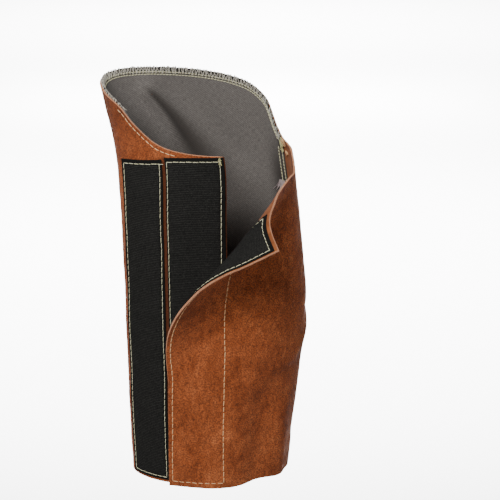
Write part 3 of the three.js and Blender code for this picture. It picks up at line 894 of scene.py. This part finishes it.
def tangle(name, c, z, out, wide, tall, turns, material, radius, seed):
    """A tangled knot: one thread whose place off the sheet is a sum of two sines across, two along
    and one outwards, whose periods share no common measure."""
    draw = np.random.default_rng(seed)
    a = np.linspace(0, turns * 2 * np.pi, 26 * turns)
    turn = draw.random(5) * 2 * np.pi
    across = 0.6 * np.sin(a + turn[0]) + 0.4 * np.sin(2.37 * a + turn[1])
    along = 0.62 * np.sin(0.73 * a + turn[2]) + 0.38 * np.sin(1.91 * a + turn[3])
    proud = 1.5 + 1.1 * np.sin(1.37 * a + turn[4])
    low, normal = spots(c + wide / 2 * across, z + tall / 2 * along, out - proud * radius * 1.6)
    return tubes(name, low[None], normal[None], radius * (1 + 0.12 * np.sin(3.1 * a)), material)


def loose_end(name, c, z, out, material, radius):
    """A thread end: a tube through the given places off the sheet, thinner towards its tip."""
    t = np.linspace(0, 1, 28)
    at = [curve(np.linspace(0, 1, len(v)), v, t) for v in (c, z, out)]
    low, normal = spots(*at)
    return tubes(name, low[None], normal[None], radius * (1 - 0.45 * t), material)


def frayed(name, c, z, out, wide, length, lean, count, material, seed):
    """A fringe of yarn ends side by side over a width of cloth. Each runs down, leans aside and curls
    off the sheet as the square of the way along it."""
    draw = np.random.default_rng(seed)
    t = np.linspace(0, 1, 12)
    place, aside, reach, curl = draw.random((4, count, 1))
    run = length * (0.5 + 0.5 * reach) * t
    low, normal = spots(c + wide * (place - 0.5) + run * (lean + 0.7 * (aside - 0.5) * t),
                        z - run + 1.5 * (reach - 0.5), out - 2.2 * curl * t * t)
    return tubes(name, low, normal, 0.24 * (1 - 0.4 * t), material)


tangle("seam_knot", LINING_END + 0.2, SEAM_TOP - 4.0, -LINING_FACE, 8.0, 13.0, 4, KNOT_THREAD, 0.36, 1)
tangle("seam_knot_fine", LINING_END + 3.5, SEAM_TOP - 0.5, -1.0, 8.0, 8.0, 3, FLAP_THREAD, 0.32, 4)
tangle("seam_knot_low", LINING_END + 8.0, SEAM_TOP - 10.8, -0.2, 4.0, 4.4, 2, FLAP_THREAD, 0.34, 2)
tangle("tape_corner_knot", INNER_STRIP[0] + 3.0, strip_top(3.0) - 3.2, TAPE_FACE + 1.5, 2.4, 6.4, 3,
       KNOT_THREAD, 0.22, 3)
frayed("frayed_yarn", LINING_END - 7.5, 262.0, -LINING_FACE - 0.5, 8.0, 11.0, -0.6, 22, LINING_YARN, 5)
frayed("frayed_overlock", SERGE_START + 1.0, top_edge(SERGE_START), -LINING_FACE, 5.0, 3.2, -0.3, 26,
       SERGE_THREAD, 6)
end_columns = SERGE_START + np.array([1.0, -1.5, -4.0, -6.0])
end_heights = top_edge(end_columns) - np.array([1.5, 2.5, 2.0, 3.4])
end_out = np.array([-1.6, -1.9, -2.0, -1.6])
loose_end("overlock_end", end_columns, end_heights, end_out, CHAIN_THREAD, 0.36)


# Stage
FLOOR, FLOOR_REACH = -0.8, 30
MIDDLE = Vector((0.0, 0.0, 0.18))


def light(name, place, size, power, tone):
    """A round lamp, aimed at the middle of the sleeve."""
    data = bpy.data.lights.new(name, "AREA")
    data.shape, data.size, data.energy, data.color = "DISK", size, power, tone
    lamp = add(name, data)
    lamp.location = place
    lamp.rotation_euler = (MIDDLE - Vector(place)).to_track_quat("-Z", "Y").to_euler()


light("key", (-0.5, -1.22, 1.2), 0.8, 32.5, (1.0, 0.99, 0.97))
light("fill", (1.8, -0.9, 0.2), 1.2, 5.0, (0.97, 0.985, 1.0))
light("top", (0.2, 0.6, 1.9), 1.2, 9.0, (1.0, 1.0, 1.0))

# Lamps straight above the floor behind the sleeve, clear of it, which turn that floor white
for behind, above, power in ((3.8, 2.6, 6500.0), (8.2, 3.0, 8500.0)):
    data = bpy.data.lights.new("backdrop", "SPOT")
    data.energy, data.spot_size, data.spot_blend = power, np.radians(84), 0.4
    data.shadow_soft_size = 0.5
    add("backdrop", data).location = (0, behind, above)

world = bpy.data.worlds.new("studio")
world.use_nodes = True
background = world.node_tree.nodes["Background"].inputs
background["Color"].default_value = (0.95, 0.96, 1.0, 1.0)
background["Strength"].default_value = 0.13
bpy.context.scene.world = world

floor_paint = Recipe("floor_paint").finish(Base_Color=(0.9, 0.9, 0.9, 1.0), Roughness=0.9)
floor = add("floor", bpy.data.meshes.new("floor"))
corners = [(x * FLOOR_REACH, y * FLOOR_REACH, FLOOR) for x, y in ((-1, -1), (1, -1), (1, 1), (-1, 1))]
floor.data.from_pydata(corners, [], [(0, 1, 2, 3)])
floor.data.materials.append(floor_paint)

# Sheets
for piece, width in zip(strips, (TAPE_WIDTH, OUTER_TAPE_WIDTH, TAPE_WIDTH)):
    width * MM
